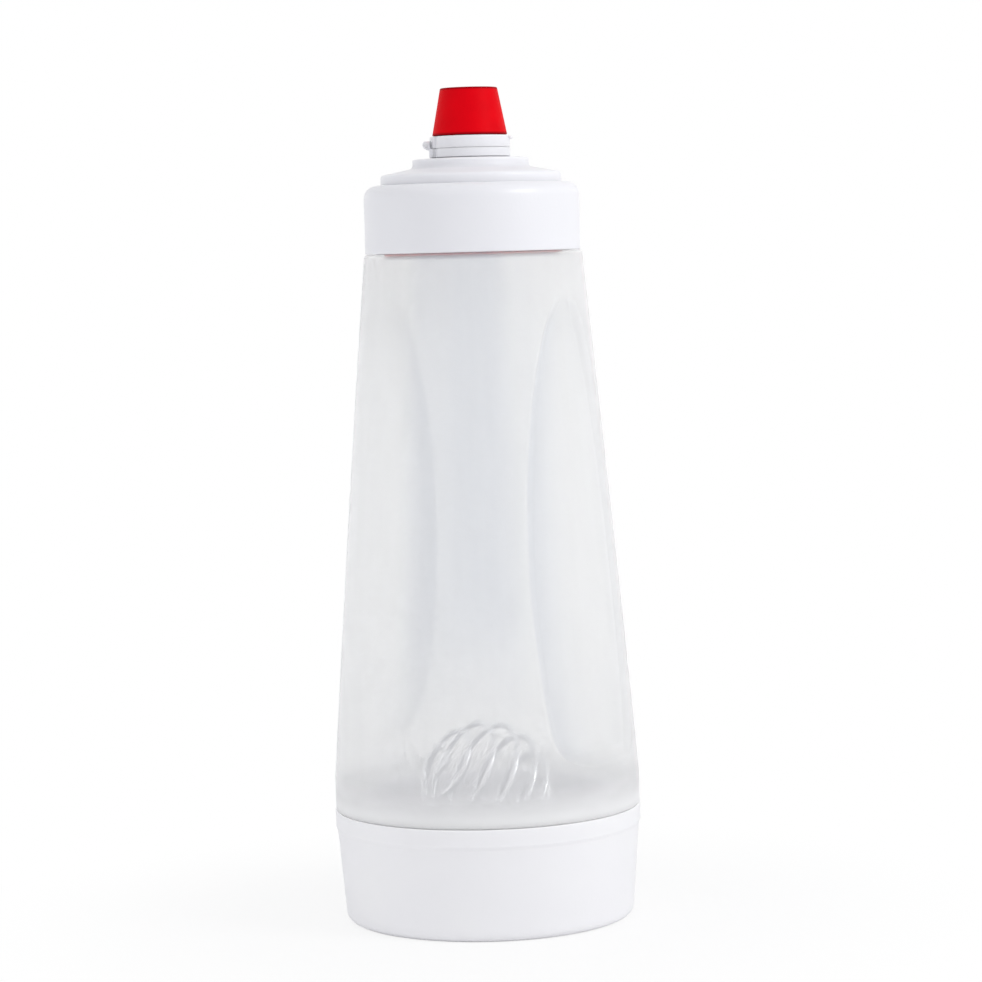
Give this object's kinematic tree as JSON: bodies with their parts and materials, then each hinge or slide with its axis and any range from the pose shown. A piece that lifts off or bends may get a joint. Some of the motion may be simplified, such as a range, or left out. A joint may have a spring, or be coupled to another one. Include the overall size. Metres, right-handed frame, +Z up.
{
  "type": "batter mixing bottle",
  "caption": "Tall frosted squeeze bottle with screw-on base cup and collar, finger grips, a hinged spout lid and a loose wire whisk ball inside.",
  "frame": {"origin": "centre of the ring that the base cup stands on", "axes": "+Z up along the bottle's axis; the two grips face +X and -X"},
  "size_m": [0.1098, 0.1098, 0.2971],
  "materials": {
    "white_plastic": "satin white moulded polypropylene",
    "frosted_plastic": "frosted see-through polyethylene",
    "clear_silicone": "matt milky silicone",
    "red_silicone": "matt red silicone",
    "steel_wire": "drawn stainless steel wire"
  },
  "bodies": {
    "bottle": {"bottle_body": "frosted_plastic"},
    "base_carrier": {"base_gasket": "clear_silicone"},
    "base": {"base_cup": "white_plastic"},
    "ball": {"whisk_ball": "steel_wire"},
    "top": {"spout_dome": "white_plastic", "plug_gasket": "red_silicone", "flow_valve": "clear_silicone", "valve_retainer": "white_plastic", "spout_tip": "clear_silicone", "tip_ring": "white_plastic", "hinge_pin": "white_plastic"},
    "collar": {"collar_ring": "white_plastic"},
    "lid": {"lid_frame": "white_plastic", "lid_seal": "clear_silicone", "lid_cover": "red_silicone"}
  },
  "joints": [
    {"name": "base_lift", "type": "slide", "parent": "bottle", "child": "base_carrier", "axis": [0, 0, -1], "range_m": [0, 0.009]},
    {"name": "base_turn", "type": "hinge", "parent": "base_carrier", "child": "base", "pos_m": [0, 0, 0.02], "axis": [0, 0, -1], "range_deg": [0, 540]},
    {"name": "ball_shake", "type": "slide", "parent": "base", "child": "ball", "axis": [0, 0, 1], "range_m": [0, 0.19]},
    {"name": "top_lift", "type": "slide", "parent": "bottle", "child": "top", "axis": [0, 0, 1], "range_m": [0, 0.009]},
    {"name": "collar_turn", "type": "hinge", "parent": "top", "child": "collar", "pos_m": [0, 0, 0.25], "axis": [0, 0, 1], "range_deg": [0, 540]},
    {"name": "lid_hinge", "type": "hinge", "parent": "top", "child": "lid", "pos_m": [-0.01229, -0.0096, 0.2772], "axis": [0.6157, -0.788, 0], "range_deg": [0, 130]}
  ],
  "couplings": [
    {"joint": "base_lift", "follows": "base_turn", "m_per_rad": 0.0009549},
    {"joint": "top_lift", "follows": "collar_turn", "m_per_rad": 0.0009549}
  ]
}
